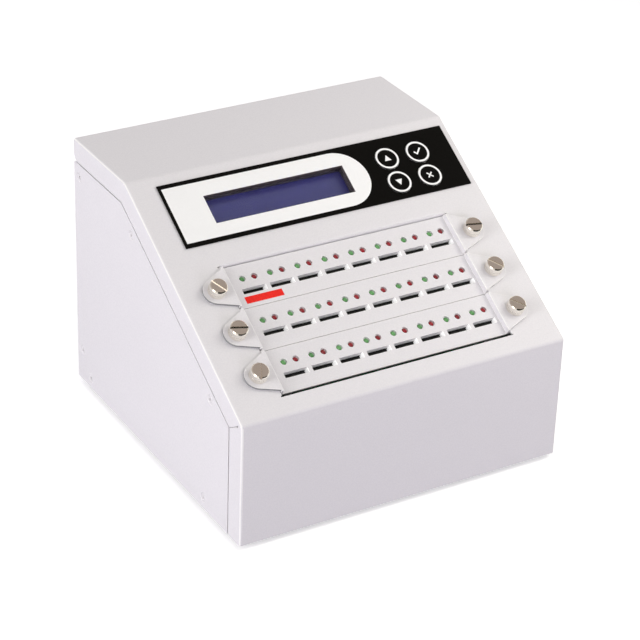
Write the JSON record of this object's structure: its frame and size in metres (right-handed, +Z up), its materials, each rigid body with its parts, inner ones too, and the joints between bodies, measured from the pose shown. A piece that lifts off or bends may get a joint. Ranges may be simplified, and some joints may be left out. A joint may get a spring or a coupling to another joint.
{
  "type": "memory card duplicator",
  "caption": "Sheet metal desk case with a sloped face: lift-out card modules with slots, lamps and captive thumbscrews below a display with round keys, rear mains inlet, rocker switch and fan",
  "frame": {"origin": "centre of the bounding box's footprint, on the plane under the feet", "axes": "X across the case to the right, Y from the front to the rear, Z up"},
  "size_m": [0.197, 0.1994, 0.1526],
  "materials": {
    "cover": "light lilac grey powder coat",
    "chassis": "light lilac grey powder coat",
    "left_side_panel": "light lilac grey powder coat",
    "right_side_panel": "light lilac grey powder coat",
    "left_side_screw_1": "light lilac grey powder coat",
    "left_side_screw_2": "light lilac grey powder coat",
    "left_side_screw_3": "light lilac grey powder coat",
    "left_side_screw_4": "light lilac grey powder coat",
    "left_side_screw_5": "light lilac grey powder coat",
    "left_side_screw_6": "light lilac grey powder coat",
    "right_side_screw_1": "light lilac grey powder coat",
    "right_side_screw_2": "light lilac grey powder coat",
    "right_side_screw_3": "light lilac grey powder coat",
    "right_side_screw_4": "light lilac grey powder coat",
    "right_side_screw_5": "light lilac grey powder coat",
    "right_side_screw_6": "light lilac grey powder coat",
    "foot_1": "matt",
    "foot_2": "matt",
    "foot_3": "matt",
    "foot_4": "matt",
    "overlay": "printed film",
    "display_lens": "clear",
    "display_module": "dark blue",
    "key_board": "green solder mask",
    "main_board": "green solder mask",
    "power_supply": "folded, bare",
    "power_inlet": "black moulded",
    "fan_frame": "black moulded",
    "module_1_plate": "light lilac grey powder coat",
    "module_1_slot_guide": "light grey moulded",
    "module_1_socket_board": "green solder mask",
    "module_1_lamp_strip": "tinted clear",
    "module_1_left_collar": "nickel plated",
    "module_1_left_knob": "nickel plated",
    "module_1_right_collar": "nickel plated",
    "module_1_right_knob": "nickel plated",
    "module_2_plate": "light lilac grey powder coat",
    "module_2_slot_guide": "light grey moulded",
    "module_2_socket_board": "green solder mask",
    "module_2_lamp_strip": "tinted clear",
    "module_2_left_collar": "nickel plated",
    "module_2_left_knob": "nickel plated",
    "module_2_right_collar": "nickel plated",
    "module_2_right_knob": "nickel plated",
    "module_3_plate": "light lilac grey powder coat",
    "module_3_slot_guide": "light grey moulded",
    "module_3_socket_board": "green solder mask",
    "module_3_lamp_strip": "tinted clear",
    "module_3_left_collar": "nickel plated",
    "module_3_left_knob": "nickel plated",
    "module_3_right_collar": "nickel plated",
    "module_3_right_knob": "nickel plated",
    "key_up": "printed film",
    "key_confirm": "printed film",
    "key_down": "printed film",
    "key_back": "printed film",
    "power_rocker": "black moulded",
    "fan_rotor": "black moulded"
  },
  "bodies": {
    "case": {"cover": "cover", "chassis": "chassis", "left_side_panel": "left_side_panel", "right_side_panel": "right_side_panel", "left_side_screw_1": "left_side_screw_1", "left_side_screw_2": "left_side_screw_2", "left_side_screw_3": "left_side_screw_3", "left_side_screw_4": "left_side_screw_4", "left_side_screw_5": "left_side_screw_5", "left_side_screw_6": "left_side_screw_6", "right_side_screw_1": "right_side_screw_1", "right_side_screw_2": "right_side_screw_2", "right_side_screw_3": "right_side_screw_3", "right_side_screw_4": "right_side_screw_4", "right_side_screw_5": "right_side_screw_5", "right_side_screw_6": "right_side_screw_6", "foot_1": "foot_1", "foot_2": "foot_2", "foot_3": "foot_3", "foot_4": "foot_4", "overlay": "overlay", "display_lens": "display_lens", "display_module": "display_module", "key_board": "key_board", "main_board": "main_board", "power_supply": "power_supply", "power_inlet": "power_inlet", "fan_frame": "fan_frame"},
    "module_1": {"module_1_plate": "module_1_plate", "module_1_slot_guide": "module_1_slot_guide", "module_1_socket_board": "module_1_socket_board", "module_1_lamp_strip": "module_1_lamp_strip"},
    "module_1_left_collar_body": {"module_1_left_collar": "module_1_left_collar"},
    "module_1_left_knob_body": {"module_1_left_knob": "module_1_left_knob"},
    "module_1_right_collar_body": {"module_1_right_collar": "module_1_right_collar"},
    "module_1_right_knob_body": {"module_1_right_knob": "module_1_right_knob"},
    "module_2": {"module_2_plate": "module_2_plate", "module_2_slot_guide": "module_2_slot_guide", "module_2_socket_board": "module_2_socket_board", "module_2_lamp_strip": "module_2_lamp_strip"},
    "module_2_left_collar_body": {"module_2_left_collar": "module_2_left_collar"},
    "module_2_left_knob_body": {"module_2_left_knob": "module_2_left_knob"},
    "module_2_right_collar_body": {"module_2_right_collar": "module_2_right_collar"},
    "module_2_right_knob_body": {"module_2_right_knob": "module_2_right_knob"},
    "module_3": {"module_3_plate": "module_3_plate", "module_3_slot_guide": "module_3_slot_guide", "module_3_socket_board": "module_3_socket_board", "module_3_lamp_strip": "module_3_lamp_strip"},
    "module_3_left_collar_body": {"module_3_left_collar": "module_3_left_collar"},
    "module_3_left_knob_body": {"module_3_left_knob": "module_3_left_knob"},
    "module_3_right_collar_body": {"module_3_right_collar": "module_3_right_collar"},
    "module_3_right_knob_body": {"module_3_right_knob": "module_3_right_knob"},
    "key_up_body": {"key_up": "key_up"},
    "key_confirm_body": {"key_confirm": "key_confirm"},
    "key_down_body": {"key_down": "key_down"},
    "key_back_body": {"key_back": "key_back"},
    "rocker": {"power_rocker": "power_rocker"},
    "rotor": {"fan_rotor": "fan_rotor"}
  },
  "joints": [
    {"name": "module_1_lift", "type": "slide", "parent": "case", "child": "module_1", "axis": [0, -0.5044, 0.8635], "range_m": [0, 0.04]},
    {"name": "module_1_left_collar_rise", "type": "slide", "parent": "module_1", "child": "module_1_left_collar_body", "axis": [0, -0.5044, 0.8635], "range_m": [0, 0.005]},
    {"name": "module_1_left_knob_turn", "type": "hinge", "parent": "module_1_left_collar_body", "child": "module_1_left_knob_body", "pos_m": [-0.0784, -0.03331, 0.11396], "axis": [0, -0.5044, 0.8635], "range_deg": [0, 3600]},
    {"name": "module_1_right_collar_rise", "type": "slide", "parent": "module_1", "child": "module_1_right_collar_body", "axis": [0, -0.5044, 0.8635], "range_m": [0, 0.005]},
    {"name": "module_1_right_knob_turn", "type": "hinge", "parent": "module_1_right_collar_body", "child": "module_1_right_knob_body", "pos_m": [0.0784, -0.03331, 0.11396], "axis": [0, -0.5044, 0.8635], "range_deg": [0, 3600]},
    {"name": "module_2_lift", "type": "slide", "parent": "case", "child": "module_2", "axis": [0, -0.5044, 0.8635], "range_m": [0, 0.04]},
    {"name": "module_2_left_collar_rise", "type": "slide", "parent": "module_2", "child": "module_2_left_collar_body", "axis": [0, -0.5044, 0.8635], "range_m": [0, 0.005]},
    {"name": "module_2_left_knob_turn", "type": "hinge", "parent": "module_2_left_collar_body", "child": "module_2_left_knob_body", "pos_m": [-0.0784, -0.05597, 0.10071], "axis": [0, -0.5044, 0.8635], "range_deg": [0, 3600]},
    {"name": "module_2_right_collar_rise", "type": "slide", "parent": "module_2", "child": "module_2_right_collar_body", "axis": [0, -0.5044, 0.8635], "range_m": [0, 0.005]},
    {"name": "module_2_right_knob_turn", "type": "hinge", "parent": "module_2_right_collar_body", "child": "module_2_right_knob_body", "pos_m": [0.0784, -0.05597, 0.10071], "axis": [0, -0.5044, 0.8635], "range_deg": [0, 3600]},
    {"name": "module_3_lift", "type": "slide", "parent": "case", "child": "module_3", "axis": [0, -0.5044, 0.8635], "range_m": [0, 0.04]},
    {"name": "module_3_left_collar_rise", "type": "slide", "parent": "module_3", "child": "module_3_left_collar_body", "axis": [0, -0.5044, 0.8635], "range_m": [0, 0.005]},
    {"name": "module_3_left_knob_turn", "type": "hinge", "parent": "module_3_left_collar_body", "child": "module_3_left_knob_body", "pos_m": [-0.0784, -0.07864, 0.08747], "axis": [0, -0.5044, 0.8635], "range_deg": [0, 3600]},
    {"name": "module_3_right_collar_rise", "type": "slide", "parent": "module_3", "child": "module_3_right_collar_body", "axis": [0, -0.5044, 0.8635], "range_m": [0, 0.005]},
    {"name": "module_3_right_knob_turn", "type": "hinge", "parent": "module_3_right_collar_body", "child": "module_3_right_knob_body", "pos_m": [0.0784, -0.07864, 0.08747], "axis": [0, -0.5044, 0.8635], "range_deg": [0, 3600]},
    {"name": "key_up_press", "type": "slide", "parent": "case", "child": "key_up_body", "axis": [0, 0.5044, -0.8635], "range_m": [0, 0.0005], "stiffness_N_per_m": 800, "springref_m": -0.0003},
    {"name": "key_confirm_press", "type": "slide", "parent": "case", "child": "key_confirm_body", "axis": [0, 0.5044, -0.8635], "range_m": [0, 0.0005], "stiffness_N_per_m": 800, "springref_m": -0.0003},
    {"name": "key_down_press", "type": "slide", "parent": "case", "child": "key_down_body", "axis": [0, 0.5044, -0.8635], "range_m": [0, 0.0005], "stiffness_N_per_m": 800, "springref_m": -0.0003},
    {"name": "key_back_press", "type": "slide", "parent": "case", "child": "key_back_body", "axis": [0, 0.5044, -0.8635], "range_m": [0, 0.0005], "stiffness_N_per_m": 800, "springref_m": -0.0003},
    {"name": "power_rocker_swing", "type": "hinge", "parent": "case", "child": "rocker", "pos_m": [-0.05, 0.09415, 0.0555], "axis": [1, 0, 0], "range_deg": [0, 20]},
    {"name": "fan_rotor_turn", "type": "hinge", "parent": "case", "child": "rotor", "pos_m": [0.046, 0.08335, 0.095], "axis": [0, 1, 0], "continuous": true}
  ],
  "couplings": [
    {"joint": "module_1_left_knob_turn", "follows": "module_1_left_collar_rise", "rad_per_m": 12566},
    {"joint": "module_1_right_knob_turn", "follows": "module_1_right_collar_rise", "rad_per_m": 12566},
    {"joint": "module_2_left_knob_turn", "follows": "module_2_left_collar_rise", "rad_per_m": 12566},
    {"joint": "module_2_right_knob_turn", "follows": "module_2_right_collar_rise", "rad_per_m": 12566},
    {"joint": "module_3_left_knob_turn", "follows": "module_3_left_collar_rise", "rad_per_m": 12566},
    {"joint": "module_3_right_knob_turn", "follows": "module_3_right_collar_rise", "rad_per_m": 12566}
  ]
}
